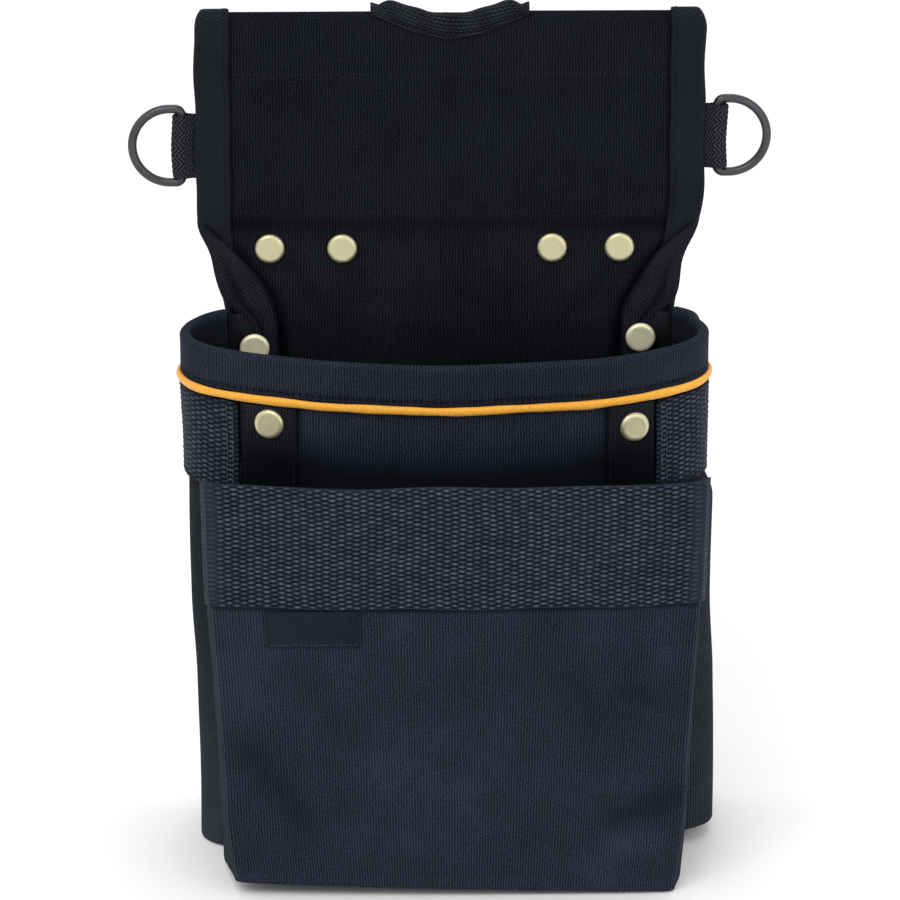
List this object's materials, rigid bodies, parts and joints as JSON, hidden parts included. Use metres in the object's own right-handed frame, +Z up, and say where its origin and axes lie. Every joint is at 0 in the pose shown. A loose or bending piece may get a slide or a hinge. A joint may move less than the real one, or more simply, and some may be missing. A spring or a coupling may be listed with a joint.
{
  "type": "tool pouch",
  "caption": "Canvas tool pouch with a deep rear pocket, a front pocket under a webbing band, a belt tunnel at the back and hinged D-rings at the sides.",
  "frame": {"origin": "middle of the belt tunnel, where a work belt holds the pouch up", "axes": "+X to the right as seen from the front, -Y out of the front pocket, +Z up"},
  "size_m": [0.253, 0.1289, 0.3308],
  "materials": {
    "canvas_navy": "coarse navy canvas",
    "canvas_black": "coarse near-black canvas",
    "lining_black": "plain black lining cloth",
    "tape_black": "black herringbone tape and webbing",
    "webbing_navy": "coarse checker-weave webbing",
    "piping_orange": "smooth orange piping",
    "board_grey": "plain stiffener board",
    "ring_metal": "dark grey coating",
    "rivet_brass": "pale satin",
    "tag_dark": "dark woven tag without lettering"
  },
  "bodies": {
    "pouch": {"back_panel": "canvas_black", "back_board": "board_grey", "back_lining": "lining_black", "edge_binding_left": "tape_black", "edge_binding_right": "tape_black", "notch_binding": "tape_black", "ring_tab_left": "tape_black", "ring_tab_right": "tape_black", "main_front_panel": "canvas_navy", "main_gusset_left": "canvas_black", "main_gusset_right": "canvas_black", "main_bottom": "canvas_navy", "main_collar": "canvas_black", "main_piping": "piping_orange", "side_webbing_left": "webbing_navy", "side_webbing_right": "webbing_navy", "front_seam_tape_left": "tape_black", "front_seam_tape_right": "tape_black", "back_seam_tape_left": "tape_black", "back_seam_tape_right": "tape_black", "front_pocket_panel": "canvas_navy", "front_pocket_bottom": "canvas_navy", "front_pocket_webbing": "webbing_navy", "woven_tag": "tag_dark", "rivet_cap_top_1": "rivet_brass", "rivet_cap_top_2": "rivet_brass", "rivet_cap_top_3": "rivet_brass", "rivet_cap_top_4": "rivet_brass", "rivet_cap_inner_left": "rivet_brass", "rivet_cap_inner_right": "rivet_brass", "rivet_cap_outer_left": "rivet_brass", "rivet_cap_outer_right": "rivet_brass", "rivet_post_top_1": "rivet_brass", "rivet_post_top_2": "rivet_brass", "rivet_post_top_3": "rivet_brass", "rivet_post_top_4": "rivet_brass", "rivet_post_inner_left": "rivet_brass", "rivet_post_inner_right": "rivet_brass", "rivet_post_outer_left": "rivet_brass", "rivet_post_outer_right": "rivet_brass"},
    "left_ring": {"d_ring_left": "ring_metal"},
    "right_ring": {"d_ring_right": "ring_metal"}
  },
  "joints": [
    {"name": "d_ring_left_swing", "type": "hinge", "parent": "pouch", "child": "left_ring", "pos_m": [-0.1052, -0.00305, 0], "axis": [0, 0, 1], "range_deg": [-90, 90]},
    {"name": "d_ring_right_swing", "type": "hinge", "parent": "pouch", "child": "right_ring", "pos_m": [0.1052, -0.00305, 0], "axis": [0, 0, 1], "range_deg": [-90, 90]}
  ]
}
